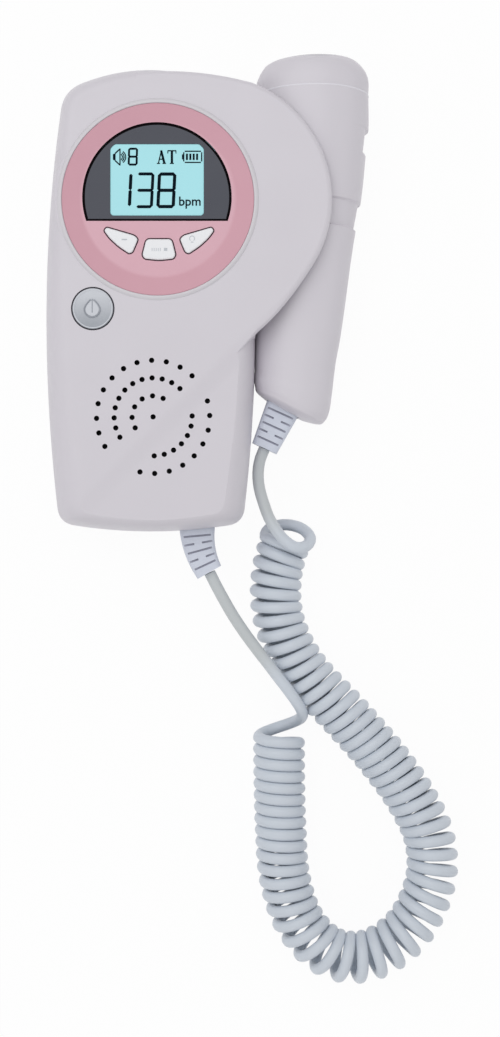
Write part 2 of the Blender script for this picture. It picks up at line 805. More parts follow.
def metal(name, colour):
    """Plated or turned metal with fine scratches."""
    made, tree = new_material(name, colour, 0.3)
    feed(tree, {"Metallic": 1.0})
    vary_roughness(tree, 0.22, 0.4, 700)
    grain(tree, 3500, 0.00001, 0.2)
    return made


def glow(name, colour, strength):
    """A lit display: even light over a face that keeps the rest of its colour."""
    made, tree = new_material(name, colour, 0.25)
    feed(tree, {"Emission Color": (*colour, 1), "Emission Strength": strength})
    vary_colour(tree, [c * (1 - strength) for c in colour], 0.02, 60)
    return made


def linear(r, g, b):
    """A colour written as it shows on a screen, from 0 to 255, as the light that the shader wants."""
    c = np.array([r, g, b]) / 255
    return tuple(np.where(c <= 0.04045, c / 12.92, ((c + 0.055) / 1.055) ** 2.4).tolist())


# The user's sizes and colours


def length_choice(label, what, size):
    """A length that a user can change, from its size in millimetres."""
    return bpy.props.FloatProperty(name=label, description=what, default=size * MM, unit="LENGTH")


def colour_choice(label, what, *shown):
    """A colour that a user can change, from how it shows on a screen."""
    return bpy.props.FloatVectorProperty(name=label, description=what, default=linear(*shown), subtype="COLOR")


class DopplerSizes(bpy.types.PropertyGroup):
    """Sizes that a user would change."""

    hole_radius: length_choice("Speaker hole", "Radius of each speaker hole", HOLE_RADIUS)
    cord_radius: length_choice("Cord", "Radius of the cord", CORD_SHOWN)
    cord_steps: bpy.props.IntProperty(
        name="Cord steps", description="Points along each curl of the cord", default=26, min=12
    )


class DopplerColours(bpy.types.PropertyGroup):
    """Colours that a user would change."""

    shell: colour_choice("Housing", "Housing plastic", 216, 212, 219)
    probe: colour_choice("Probe", "Probe plastic", 217, 213, 220)
    trim: colour_choice("Bezel", "Pink bezel", 220, 172, 185)
    display: colour_choice("Display", "Lit display", 164, 225, 233)
    keys: colour_choice("Keys", "White keys", 240, 241, 244)
    cord: colour_choice("Cord", "Cord and strain reliefs", 209, 216, 225)


MATERIALS = {}


def material(name):
    """One shared material, made when it is first asked for."""
    colours = bpy.context.scene.doppler_colours
    finishes = {
        "shell": (moulded, "shell_plastic", colours.shell),
        "hole_floor": (printed, "hole_floor", linear(22, 21, 25)),
        "probe": (moulded, "probe_plastic", colours.probe, 0.4),
        "seam": (moulded, "seam_light", linear(230, 228, 235), 0.3),
        "trim": (ringed, "bezel_plastic", colours.trim, BEZEL_CENTRE, BEZEL_FLAT_RADIUS),
        "rim": (moulded, "rim_plastic", linear(215, 212, 217), 0.36),
        "window": (moulded, "window_tint", linear(58, 61, 73), 0.22, 900, 0.000002),
        "window_edge": (printed, "window_edge_ink", linear(14, 9, 13)),
        "display": (glow, "display_light", colours.display, 0.4),
        "mark": (printed, "display_marks", linear(8, 22, 32)),
        "key_gap": (printed, "key_gap_shade", linear(74, 50, 60)),
        "key": (moulded, "key_plastic", colours.keys, 0.32),
        "key_mark": (moulded, "key_marks", linear(196, 200, 206), 0.5),
        "power": (graded, "power_paint", linear(160, 165, 173), linear(206, 209, 216), POWER_CENTRE, POWER_RADIUS),
        "power_mark": (moulded, "power_mark", linear(208, 211, 218), 0.4),
        "power_line": (printed, "power_line", linear(152, 156, 165)),
        "power_gap": (printed, "power_gap_shade", linear(84, 82, 90)),
        "cord": (two_tone, "cord_jacket", colours.cord, (0.9, 0.88, 0.82)),
        "boot": (moulded, "boot_rubber", toned(colours.cord, (1.04, 1.02, 1.06)), 0.45, 1800, 0.00002),
        "boot_gap": (printed, "boot_gap_shade", linear(180, 182, 196)),
        "lens": (moulded, "probe_face", linear(196, 193, 200), 0.25),
        "steel": (metal, "screw_steel", linear(176, 178, 184)),
        "recess": (moulded, "recess_shade", linear(60, 60, 66), 0.6),
    }
    if name not in MATERIALS:
        maker, *values = finishes[name]
        MATERIALS[name] = maker(*values)
    return MATERIALS[name]


# Housing


def shell_solid(start, end, band, power, rows=26, inward=0.0, sides=56):
    """Outlines stacked on a superellipse: inset b (1 - cos^q a), height from start to end by sin^q a, q = 2 / power."""
    angle = np.linspace(0, math.pi / 2, rows)
    inset = band * (1 - np.cos(angle) ** (2 / power))
    height = start + (end - start) * np.sin(angle) ** (2 / power)
    height[-1] = end
    down = math.copysign(inward, start - end)
    counts = (sides, sides * 2 // 3, max(5, sides // 4))
    rings = [lifted(housing_outline(i, inward, *counts), z + down) for i, z in zip(inset, height)]
    if inward:
        rings.insert(0, rings[0] * [1, 1, 0] + [0, 0, start + down * 2])
    return skin(rings)


def step_point(s):
    """A point on the step's line, a distance from its start."""
    return STEP_START + unit(STEP_END - STEP_START) * s


def lobe_outline(inset=0.0):
    """The lobe's outline: a parabola up from its corner, an arc, and points that lie under the face."""
    arc = LOBE_CENTRE + (LOBE_RADIUS - inset) * ray(np.radians(np.linspace(*LOBE_ARC, 120)))
    inward = left_of(unit(arc[0] - LOBE_CORNER)) * inset
    flank = parabola(LOBE_CORNER + inward, LOBE_BEND + inward, arc[0], np.linspace(0, 1, 32)[:-1])
    over, last = LOBE_HIP - [0, inset]
    hip = parabola(arc[-1], over, last, np.linspace(0, 1, 24)[1:])
    x, y = BEZEL_CENTRE
    inner = [(x - BEZEL_FLAT_RADIUS / 2, y + BEZEL_RADIUS), (x - BEZEL_FLAT_RADIUS, y), (x, y - BEZEL_RADIUS)]
    return np.concatenate([flank, arc, hip, inner, [step_point(LOBE_HOLD)]])


def step_tool():
    """What the face loses past the diagonal step: an S-shaped slope, as deep as the step is at each place along it."""
    length = np.linalg.norm(STEP_END - STEP_START)
    out = left_of(unit(STEP_END - STEP_START))
    across = np.linspace(-1, 1, 17)
    fall = 0.5 - 0.5 * np.cos((across + 1) * math.pi / 2)
    first, middle, last = STEP_DEPTHS
    rings = []
    for s, depth in (
        (-STEP_REACH, first), (0, first), (length * 0.5, middle), (length, last), (length + STEP_REACH, last)
    ):
        base = step_point(s)
        flat = base + np.outer(across * STEP_SLOPE, out)
        slope = lifted(flat, UNIT_HEIGHT + 0.02 - (depth + 0.02) * fall)
        far = base + out * 100
        rest = [[*far, UNIT_HEIGHT - depth], [*far, UNIT_HEIGHT + 1], [*flat[0], UNIT_HEIGHT + 1]]
        rings.append(np.concatenate([slope, rest]))
    return skin(rings)


def speaker_holes():
    """The speaker holes as short round pegs in broken rings, a little longer than the wall is thick."""
    places = [(0.0, 0.0)]
    for radius, first, last, step in HOLE_RINGS:
        places.extend(radius * ray(np.radians(np.arange(first, last + 1, step) + HOLE_TURN)))
    radius = bpy.context.scene.doppler_sizes.hole_radius / MM
    return pegs(np.array(places) + SPEAKER_CENTRE, radius, UNIT_HEIGHT - HOLE_DEPTH, UNIT_HEIGHT + 1, 16)


def relief_hole(place, margin, near, far, turn=0.0):
    """The rounded hole that a strain relief passes, from near to far along a line turned about Z."""
    half = RELIEF_WIDTH / 2 + margin
    across, up = rounded(oblong(half, -half, half, -half), RELIEF_CORNER).T
    x, y, z = place
    c, s = math.cos(turn), math.sin(turn)
    return skin([lifted(np.stack([x + across * c - at * s, y + across * s + at * c], axis=1), z + up * RELIEF_FLAT)
                 for at in (near, far)])


class DOPPLER_OT_front(bpy.types.Operator):
    """Builds the front shell with its lobe, step, speaker holes and button holes."""

    bl_idname = "doppler.front"
    bl_label = "Front shell"

    def execute(self, context):
        shell = put("front_housing", shell_solid(*FRONT_SHELL), "shell", "hole_floor")
        low = FRONT_SHELL[0]
        shoulder = put("shoulder", plate(lobe_outline(), low, UNIT_HEIGHT - LOBE_EDGE), "shell", "hole_floor")
        carve(shoulder, "INTERSECT", plate(housing_outline(0.0), low - 1, UNIT_HEIGHT))
        lobe = soft_stack(lobe_outline, UNIT_HEIGHT - LOBE_PLATE, UNIT_HEIGHT, LOBE_EDGE, LOBE_UNDER)
        radius = BEZEL_RADIUS + BOSS_FIT + RIM_WIDTH + BOSS_MARGIN
        boss = soft_stack(lambda inset: round_outline(BEZEL_CENTRE, radius - inset, ROUND_SIDES),
                          UNIT_HEIGHT - BOSS_HEIGHT, UNIT_HEIGHT, BOSS_EDGE)
        join(shell, taken(shoulder), lobe, boss)
        seat = round_outline(BEZEL_CENTRE, BEZEL_RADIUS + BEZEL_FIT, ROUND_SIDES)
        cut(shell, step_tool(), shell_solid(*FRONT_SHELL, 10, WALL, 16), plate(seat, BEZEL_FLOOR - 1, UNIT_HEIGHT + 1))
        cut(shell, turned([(POWER_HOLE, z) for z in POWER_CUT], POWER_CENTRE, 96), index=1)
        cut(shell, relief_hole(*MAIN_HOLE))
        cut(shell, speaker_holes(), index=1)
        complete(shell, "unit", "shell_white", "front_shell")
        self.rim()
        return {"FINISHED"}

    def rim(self):
        """The raised bead round the bezel: a half-round section turned about the bezel's middle."""
        a = np.linspace(0, math.pi, 13)
        half = RIM_WIDTH / 2
        middle = BEZEL_RADIUS + BEZEL_FIT + half
        base = UNIT_HEIGHT - 0.1 - 0.25 * np.cos(a)
        arch = np.stack([middle + half * np.cos(a), base + RIM_RISE * np.sin(a) ** 0.8], axis=1)
        profile = [*arch, (middle - half, RIM_FOOT), (middle + half, RIM_FOOT)]
        put("bezel_rim", turned(profile, BEZEL_CENTRE, ROUND_SIDES), "rim", body="unit", slot="shell_white")


def cover_section(grow):
    """The cover's plate with its wider lip, grown by a clearance."""
    half = BAY_HALF_WIDTH - COVER_GAP + grow
    high = BAY_HIGH + COVER_LIP + grow
    return (
        block(-half, half, COVER_END, high - COVER_LIP, -1, COVER_PLATE),
        block(-half - COVER_LIP, half + COVER_LIP, COVER_END, high, COVER_THICKNESS - LIP_THICKNESS - grow,
              COVER_THICKNESS + grow),
    )


class DOPPLER_OT_back(bpy.types.Operator):
    """Builds the rear shell with its flange, battery bay and screw wells, and the sliding cover."""

    bl_idname = "doppler.back"
    bl_label = "Rear shell and cover"

    def execute(self, context):
        shell = put("rear_housing", shell_solid(*REAR_SHELL), "shell", "recess")
        join(shell, lathe(oblong(0, FLANGE_RADIUS, 0, FLANGE_THICKNESS), 0.7, LOBE_CENTRE, ROUND_SIDES))
        cut(shell, shell_solid(*REAR_SHELL, 8, WALL, 16))
        outer = BAY_HALF_WIDTH + BAY_WALL
        join(shell, block(-outer, outer, BAY_LOW - BAY_END_WALL, BAY_HIGH + BAY_WALL, 1, BAY_DEPTH))
        bay = block(-BAY_HALF_WIDTH, BAY_HALF_WIDTH, BAY_LOW, BAY_HIGH, -1, BAY_DEPTH + 7)
        cut(shell, bay, *cover_section(COVER_GAP))
        cut(shell, relief_hole(*MAIN_HOLE))
        cut(shell, pegs(SCREW_PLACES, SCREW_WELL_RADIUS, -1, SCREW_WELL_DEPTH))
        complete(shell, "unit", "shell_white", "rear_shell")
        self.cover()
        return {"FINISHED"}

    def cover(self):
        """The sliding cover: a plate that ends on the housing's rounded lower edge, with finger grooves."""
        cover = put("sliding_cover", shell_solid(*REAR_SHELL), "shell")
        half = BAY_HALF_WIDTH - COVER_GAP
        plan = rounded(oblong(-half, half, COVER_END, BAY_HIGH), 0.6)
        form = put("cover_form", plate(plan, -1, COVER_PLATE), "shell")
        join(form, cover_section(0.0)[1])
        carve(cover, "INTERSECT", taken(form))
        places = GRIP_START + GRIP_PITCH * np.arange(GRIP_COUNT)
        bars = [rounded(oblong(-GRIP_HALF, GRIP_HALF, y - 0.5, y + 0.5), 0.45) for y in places]
        cut(cover, together([plate(bar, -1, GRIP_DEPTH) for bar in bars]))
        complete(cover, "battery_cover", "shell_white", "battery_cover")


# Bezel, window, display and keys


def window_outline(grow=0.0):
    """A circle cut straight along its lower side."""
    radius = WINDOW_RADIUS + grow
    first = math.asin((-WINDOW_FLOOR - grow) / radius)
    return WINDOW_CENTRE + radius * ray(np.linspace(first, math.pi - first, 120))


def display_outline(grow=0.0):
    """The display's rectangle with small cut corners on top."""
    w, h = DISPLAY_SIZE[0] / 2 + grow, DISPLAY_SIZE[1] / 2 + grow
    c = DISPLAY_CORNER
    right = [(w, -h + c / 2), (w, h - c), (w - c, h)]
    points = right + [(-a, b) for a, b in reversed(right)] + [(c / 2 - w, -h), (w - c / 2, -h)]
    return rounded(np.array(points) + DISPLAY_CENTRE, 0.5, 4)


def key_outline(which, grow=0.0):
    """A key's outline with rounded corners, mirrored for the left one."""
    side = KEY_SIDES[which]
    if side:
        points = (SIDE_KEY_SHARES * SIDE_KEY_SIZE + SIDE_KEY_CENTRE) * [side, 1]
    else:
        points = CENTRE_KEY_SHARES * CENTRE_KEY_SIZE + CENTRE_KEY_CENTRE
    outline = rounded(points + [KEY_MIDDLE, 0], 1.1, 6)
    return drawn_in(outline, -grow) if grow else outline


class DOPPLER_OT_bezel(bpy.types.Operator):
    """Builds the pink bezel, the dark window and the keys."""

    bl_idname = "doppler.bezel"
    bl_label = "Bezel, window and keys"

    def execute(self, context):
        outer = BEZEL_RADIUS
        section = [(0, BEZEL_FLOOR), (outer, BEZEL_FLOOR), (outer, BEZEL_TOP - 0.1), (outer - 0.12, BEZEL_TOP),
                   (BEZEL_FLAT_RADIUS, BEZEL_FACE), (0, BEZEL_FACE)]
        ring = put("pink_bezel", lathe(section, 0.4, BEZEL_CENTRE, ROUND_SIDES), "trim", "window_edge")
        openings = [window_outline(WINDOW_GAP), *(key_outline(which, KEY_GAP) for which in KEY_SIDES)]
        cut(ring, *(plate(outline, *THROUGH) for outline in openings), index=1)
        complete(ring, "unit", "pink_trim", "bezel_ring")
        self.window()
        for which in KEY_SIDES:
            self.key(which)
        return {"FINISHED"}

    def window(self):
        """The window: a plate with a soft edge and a printed dark border, open over the display."""
        inner = drawn_in(window_outline(), WINDOW_BORDER)
        border = put("window_border", plate(window_outline(), WINDOW_BOTTOM, WINDOW_TOP, WINDOW_EDGE), "window_edge")
        cut(border, plate(inner, *THROUGH))
        complete(border, "unit", "window_tint")
        pane = put("display_pane", plate(inner, WINDOW_BOTTOM, WINDOW_TOP), "window")
        cut(pane, plate(display_outline(0.1), *THROUGH))
        complete(pane, "unit", "window_tint", "display_window")

    def key(self, which):
        """A key, which is a soft-edged cap over its flange and stem, and the dark line in the gap round it."""
        side, outline = KEY_SIDES[which], key_outline(which)
        middle = (KEY_MIDDLE + SIDE_KEY_CENTRE[0] * side, SIDE_KEY_CENTRE[1]) if side else outline.mean(axis=0)
        key = put("key_" + which, plate(outline, KEY_FOOT, KEY_TOP, KEY_EDGE, 5), "key")
        stem = round_outline(middle, KEY_STEM_RADIUS, 24)
        join(key, plate(key_outline(which, KEY_FLANGE_WIDTH), *KEY_FLANGE), plate(stem, *KEY_STEM))
        complete(key, "button_" + which, "key_white", "button_" + which, keep_sharp=40)
        line = put("key_frame_" + which, plate(key_outline(which, KEY_GAP), *KEY_FRAME), "key_gap")
        cut(line, plate(key_outline(which, 0.03), *THROUGH))
        hold(line, "unit", "black_parts")


# Display marks


def stroke(x0, y0, x1, y1, width):
    """A straight bar of a width from one point to another."""
    a, b = np.array([x0, y0], float), np.array([x1, y1], float)
    side = left_of(unit(b - a)) * width / 2
    return np.array([a - side, b - side, b + side, a + side])


def strokes(x, y, rows):
    """Straight bars, each from one place to another by its width, all measured from one point."""
    return [stroke(x + x0, y + y0, x + x1, y + y1, width) for x0, y0, x1, y1, width in rows]


def arc_strokes(x, y, radius, first, last, width, steps=10):
    """An arc as a row of short pieces."""
    line = ray(np.radians(np.linspace(first, last, steps + 1)))
    outer, inner = line * (radius + width / 2), line * (radius - width / 2)
    return [np.array([inner[i], outer[i], outer[i + 1], inner[i + 1]]) + [x, y] for i in range(steps)]


SEGMENTS = {
    "top": ((0, 1), (1, 1)), "middle": ((0, 0.5), (1, 0.5)), "bottom": ((0, 0), (1, 0)),
    "upper_left": ((0, 1), (0, 0.5)), "upper_right": ((1, 1), (1, 0.5)),
    "lower_left": ((0, 0.5), (0, 0)), "lower_right": ((1, 0.5), (1, 0)),
}
DIGITS = {
    "1": ("upper_right", "lower_right"),
    "3": ("top", "middle", "bottom", "upper_right", "lower_right"),
    "8": tuple(SEGMENTS),
}
# Each figure: its sign, place, width, height, weight and lean
FIGURES = (
    ("1", 0.75, 2.3, 5.3, 10.4, 0.98, 0.05), ("3", 7.25, 2.1, 5.25, 10.6, 0.9, 0.05),
    ("8", 13.5, 2.1, 5.5, 10.6, 0.98, 0.05), ("8", 5.05, 14.7, 2.95, 5.3, 0.62, 0.03),
)
# Bars: from one place to another, and the width
CONE_BARS = ((0.7, 1.1, 2.1, 2.4, 0.4), (0.7, -1.1, 2.1, -2.4, 0.4), (2.1, -2.5, 2.1, 2.5, 0.36))
LETTER_BARS = (
    (0.45, 0.1, 1.35, 3.95, 0.34), (1.25, 3.95, 2.25, 0.1, 0.68), (0.75, 1.35, 1.95, 1.35, 0.34),
    (0, 0.1, 0.95, 0.1, 0.32), (1.65, 0.1, 2.7, 0.1, 0.32), (3.2, 3.85, 5.7, 3.85, 0.36),
    (4.45, 3.8, 4.45, 0.1, 0.7), (3.85, 0.1, 5.05, 0.1, 0.32), (3.25, 3.95, 3.25, 3.05, 0.28),
    (5.65, 3.95, 5.65, 3.05, 0.28),
)
BATTERY_BARS = (
    (0.8, 0, 5.6, 0, 0.38), (0.8, 3.3, 5.6, 3.3, 0.38), (0.5, 0.3, 0.5, 3.0, 0.38), (5.8, 0.3, 5.8, 3.0, 0.38),
    (0.15, 0.9, 0.15, 2.4, 0.35), *((1.45 + i, 0.7, 1.45 + i, 2.6, 0.6) for i in range(4)),
)


def digit(character, x, y, width, height, weight, lean):
    """A seven-segment digit: six-sided bars that taper at their ends, leaning to the right."""
    shapes = []
    inner = np.array([width - weight, height - weight])
    for name in DIGITS[character]:
        a, b = (np.array(end) * inner + weight / 2 for end in SEGMENTS[name])
        way = unit(b - a)
        side = left_of(way) * weight / 2
        a, b = a - way * weight * 0.1, b + way * weight * 0.1
        tip = way * weight * 0.45
        shape = np.array([a, a + tip - side, b - tip - side, b, b - tip + side, a + tip + side])
        shape[:, 0] += shape[:, 1] * lean
        shapes.append(shape + [x, y])
    return shapes


def flat_marks(name, shapes, z, mark, body, slot, thickness=0.04):
    """Thin raised marks: each outline carried up by a hair."""
    put(name, together([plate(shape, z, z + thickness) for shape in shapes]), mark, body=body, slot=slot)


def written(name, words, x, y, size, z, mark, body, slot):
    """Words set in the built-in type, turned into a mesh at their place."""
    curve = bpy.data.curves.new(name, "FONT")
    curve.body = words
    curve.size = size * MM
    curve.extrude = 0.02 * MM
    curve.offset = 0.06 * MM
    curve.resolution_u = 4
    holder = linked(name, curve)
    mesh = evaluated_mesh(holder)
    bpy.data.objects.remove(holder)
    co = np.array([v.co for v in mesh.vertices]) + np.array([x, y, z + 0.02]) * MM
    mesh.vertices.foreach_set("co", co.ravel())
    mesh.materials.clear()
    mesh.materials.append(material(mark))
    obj = linked(name, mesh)
    modify(obj, "WELD", merge_threshold=WELD_GAP * MM)
    hold(obj, body, slot)


class DOPPLER_OT_display(bpy.types.Operator):
    """Builds the lit display with its rate, volume, mode and battery marks."""

    bl_idname = "doppler.display"
    bl_label = "Display"

    def execute(self, context):
        panel = put("display_glass", plate(display_outline(), DISPLAY_BOTTOM, DISPLAY_TOP), "display")
        x, y = DISPLAY_CENTRE
        w, h = GLASS_HALF
        join(panel, block(x - w + 0.3, x + w + 0.3, y - h - 0.2, y + h - 0.2, DISPLAY_BOTTOM, GLASS_TOP))
        complete(panel, "unit", "display", "lcd_panel")
        left, low = x - DISPLAY_SIZE[0] / 2, y - DISPLAY_SIZE[1] / 2
        shapes = []
        for sign, a, b, *form in FIGURES:
            shapes += digit(sign, left + a, low + b, *form)
        shapes += self.loudspeaker(left + 0.7, low + 17.25)
        shapes += strokes(left + 13.7, low + 15.25, LETTER_BARS)
        shapes += strokes(left + 21.15, low + 15.65, BATTERY_BARS)
        flat_marks("display_marks", shapes, DISPLAY_TOP, "mark", "unit", "black_parts")
        written("display_unit_word", "bpm", left + 20.1, low + 2.9, 3.8, DISPLAY_TOP, "mark", "unit", "black_parts")
        return {"FINISHED"}

    def loudspeaker(self, x, y):
        """A loudspeaker: a small box, a cone in outline and three waves."""
        shapes = [np.array([(0, -0.8), (0.8, -1.2), (0.8, 1.2), (0, 0.8)]) + [x, y], *strokes(x, y, CONE_BARS)]
        for radius in (1.0, 1.5, 2.0):
            shapes += arc_strokes(x + 1.8, y, radius, -55, 55, 0.33)
        return shapes


class DOPPLER_OT_key_marks(bpy.types.Operator):
    """Prints faint generic signs on the keys: less, a row of ticks, and a lamp."""

    bl_idname = "doppler.key_marks"
    bl_label = "Key signs"

    def execute(self, context):
        ticks = [(-2 + 0.6 * i, -0.4, -2 + 0.6 * i, 0.5, 0.22) for i in range(5)]
        less, lamp, y = KEY_MIDDLE - 10.2, KEY_MIDDLE + 9.8, 17.6
        bulb = arc_strokes(lamp, y + 0.3, 0.75, -50, 230, 0.25, 14)
        signs = {
            "left": strokes(less, y, [(-0.8, 0, 0.8, 0, 0.4)]),
            "center": strokes(KEY_MIDDLE, 14.6, [*ticks, (1.5, 0.1, 2.5, 0.1, 0.9)]),
            "right": bulb + strokes(lamp, y, [(-0.4, -0.75, 0.4, -0.75, 0.25)]),
        }
        for which, shapes in signs.items():
            flat_marks("key_sign_" + which, shapes, KEY_TOP, "key_mark", "button_" + which, "key_white", 0.02)
        return {"FINISHED"}


class DOPPLER_OT_power(bpy.types.Operator):
    """Builds the round power button with its sign."""

    bl_idname = "doppler.power"
    bl_label = "Power button"

    def execute(self, context):
        r, top, flange, stem = POWER_RADIUS, POWER_TOP, POWER_FLANGE, POWER_STEM
        foot, low, high = POWER_LEVELS
        dish = top - 0.1
        section = [(0, foot), (stem, foot), (stem, low), (flange, low), (flange, high), (r, high), (r, top - 0.12),
                   (r - 0.5, top), (r - 0.9, dish), (r - 1.4, dish), (0, dish)]
        cap = put("power_cap", lathe(section, 0.45, POWER_CENTRE), "power")
        complete(cap, "power_button", "power_silver", "power_button", keep_sharp=34)
        sunk, proud = top - 0.3, top + 0.03
        lip = [(r - 0.55, sunk), (r - 0.15, sunk), (r - 0.2, proud), (r - 0.5, proud)]
        put("power_lip", turned(lip, POWER_CENTRE), "power_mark", body="power_button", slot="power_silver")
        collar = oblong(r + 0.05, POWER_HOLE + 0.1, *POWER_COLLAR)
        put("power_collar", turned(collar, POWER_CENTRE), "power_gap", body="unit", slot="black_parts")
        x, y = POWER_CENTRE[0] - 0.15, POWER_CENTRE[1] - 0.25
        fill = [self.drop(1.95, 0) + [x, y]]
        flat_marks("power_sign_fill", fill, sunk, "power_mark", "power_button", "power_silver", 0.35)
        line = self.drop(2.35, 18) + [x, y]
        sign = [stroke(*a, *b, 0.28) for a, b in zip(line[:-1], line[1:])]
        sign += strokes(x, y, [(0, -0.95, 0, 3.05, 0.25)])
        flat_marks("power_sign", sign, sunk, "power_line", "power_button", "power_silver", 0.38)
        return {"FINISHED"}

    def drop(self, radius, open_angle):
        """A drop that narrows to its top: x = r sin a (1 - 0.4 c^2), y = r cos a + 0.3 r c^2, c = cos a above 0."""
        a = np.radians(np.linspace(open_angle, 360 - open_angle, 33))
        c = np.maximum(np.cos(a), 0)
        points = np.stack([radius * np.sin(a) * (1 - 0.4 * c**2), radius * (np.cos(a) + 0.3 * c**2)], axis=1)
        return points if open_angle else points[:-1]


# Probe


def squared(v):
    """A cosine or sine bent to the probe's superellipse."""
    return np.sign(v) * np.abs(v) ** (2 / PROBE_SQUARENESS)


def probe_section(x, y, half_width, half_thickness, slant, angle):
    """Rings across the probe: superellipses that lean by a slant."""
    across = half_width[:, None] * squared(np.cos(angle))[None, :]
    up = half_thickness[:, None] * squared(np.sin(angle))[None, :]
    return np.stack([x[:, None] + across, y[:, None] - slant[:, None] * across, up], axis=-1)


def window_step(value, low, high, soft):
    """1 between low and high and 0 outside, with soft shoulders."""
    rise = np.clip((value - low) / soft + 0.5, 0, 1)
    fall = np.clip((high - value) / soft + 0.5, 0, 1)
    return (3 * rise**2 - 2 * rise**3) * (3 * fall**2 - 2 * fall**3)


def seam_dip(across, distance):
    """The light line isn't square to the probe: y = 0.077 x - 0.0034 x^2 at the line, fading out 9 mm from it."""
    fade = np.clip(1 - distance / SEAM_FADE, 0, 1)[:, None]
    return (0.077 * across - 0.0034 * across**2) * fade**2 * (3 - 2 * fade)


def handle_surface(angle, inward, depth):
    """The handle's skin: stations blended along it, less the groove band, the side notch and an inward step."""
    shift, width, thickness, slant = smooth_through(HANDLE_SHARES, depth / HANDLE_LENGTH)
    groove = GROOVE_DEPTH * window_step(depth, GROOVE_START, GROOVE_START + GROOVE_WIDTH, 0.5) if not inward else 0
    half_width = np.maximum(width * HEAD_HALF_WIDTH - inward - groove, 1.2)
    half_thickness = np.maximum(thickness * HEAD_HALF_THICKNESS - inward - groove, 1.2)
    points = probe_section(shift * HEAD_HALF_WIDTH, -depth, half_width, half_thickness, slant * END_SLANT, angle)
    if not inward:
        points[..., 1] += seam_dip(points[..., 0], depth)
        notch = window_step(depth, NOTCH_START, NOTCH_START + NOTCH_LENGTH, 0.7)[:, None]
        side = np.exp(-((np.angle(np.exp(1j * angle)) / NOTCH_SPREAD) ** 2))[None, :]
        points[..., 0] -= NOTCH_DEPTH * notch * side
    return points


class DOPPLER_OT_probe(bpy.types.Operator):
    """Builds the probe's two handle halves, its light seam, its head and its face."""

    bl_idname = "doppler.probe"
    bl_label = "Probe"

    def execute(self, context):
        angle = round_angles(PROBE_SIDES)
        outer = handle_surface(angle, 0, HANDLE_ROWS)
        outer[0, :, 1] -= SEAM_HALF
        inner = handle_surface(angle[::4], PROBE_WALL + GROOVE_DEPTH / 2, np.linspace(0, HOLLOW_LENGTH, 18))
        inner[0, :, 1] += 1
        far = PROBE_REACH
        for name, node, side in (("probe_front", "probe_shell_front", 1), ("probe_back", "probe_shell_rear", -1)):
            half = put(name, skin(outer), "probe", "recess")
            cut(half, skin(inner), relief_hole(*PROBE_HOLE))
            carve(half, "INTERSECT", block(-far, far, -2 * far, far, *sorted((PROBE_SPLIT * side, far * side))))
            if side < 0:
                cut(half, pegs(PROBE_SCREWS, SCREW_WELL_RADIUS, -30, PROBE_HEAD_LEVEL))
            complete(half, "probe", "probe_white", node, keep_sharp=40, turn=PROBE_TURN)
        self.seam(angle)
        self.head(angle)
        return {"FINISHED"}

    def seam(self, angle):
        """The light line between the handle and its head: a thin soft ring on the same section."""
        y = np.array([-0.26, -0.25, -0.14, 0.0, 0.14, 0.25, 0.26])
        width = HANDLE_SHARES[0, 2] + np.array([-0.03, 0.0, 0.004, 0.006, 0.004, 0.0, -0.03])
        rings = probe_section(0 * y, y, width * HEAD_HALF_WIDTH, width * HEAD_HALF_THICKNESS * 1.01, 0 * y, angle)
        rings[..., 1] += seam_dip(rings[..., 0], 0 * y)
        put("probe_seam", skin(rings), "seam", body="probe", slot="probe_white", turn=PROBE_TURN, keep_sharp=60)

    def head(self, angle):
        """The head: a dome of shrinking rings with a hole for the face, and the face itself on the same dome."""
        place = np.concatenate([np.linspace(0, 0.6, 10), np.linspace(0.64, 0.985, 24)])
        width, thick, shift, lean = smooth_through(CAP_SHARES, place)
        y = SEAM_HALF + place * (CAP_LENGTH - SEAM_HALF)
        width, thick, shift = width * HEAD_HALF_WIDTH, thick * HEAD_HALF_THICKNESS, shift * HEAD_HALF_WIDTH
        rings = probe_section(shift, y, width, thick, lean, angle)
        rings[..., 1] += seam_dip(rings[..., 0], y)
        cap = put("probe_head", skin(rings), "probe")
        cut(cap, self.core(FACE_RADIUS + 0.12, FACE_SEAT))
        face = put("probe_lens", skin(rings), "lens")
        carve(face, "INTERSECT", self.core(FACE_RADIUS, FACE_SEAT + 0.2))
        for obj, node, slot in ((cap, "probe_cap", "probe_white"), (face, "probe_face", "face_grey")):
            complete(obj, "probe", slot, node, keep_sharp=34, turn=PROBE_TURN)

    def core(self, radius, low):
        """A round bar on the probe's axis, from a place in the head to past its end."""
        vertices, faces = turned(oblong(0, radius, low, FACE_REACH), (0, 0), PROBE_SIDES)
        x, y, z = vertices.T
        return np.stack([x, z, -y], axis=1), faces


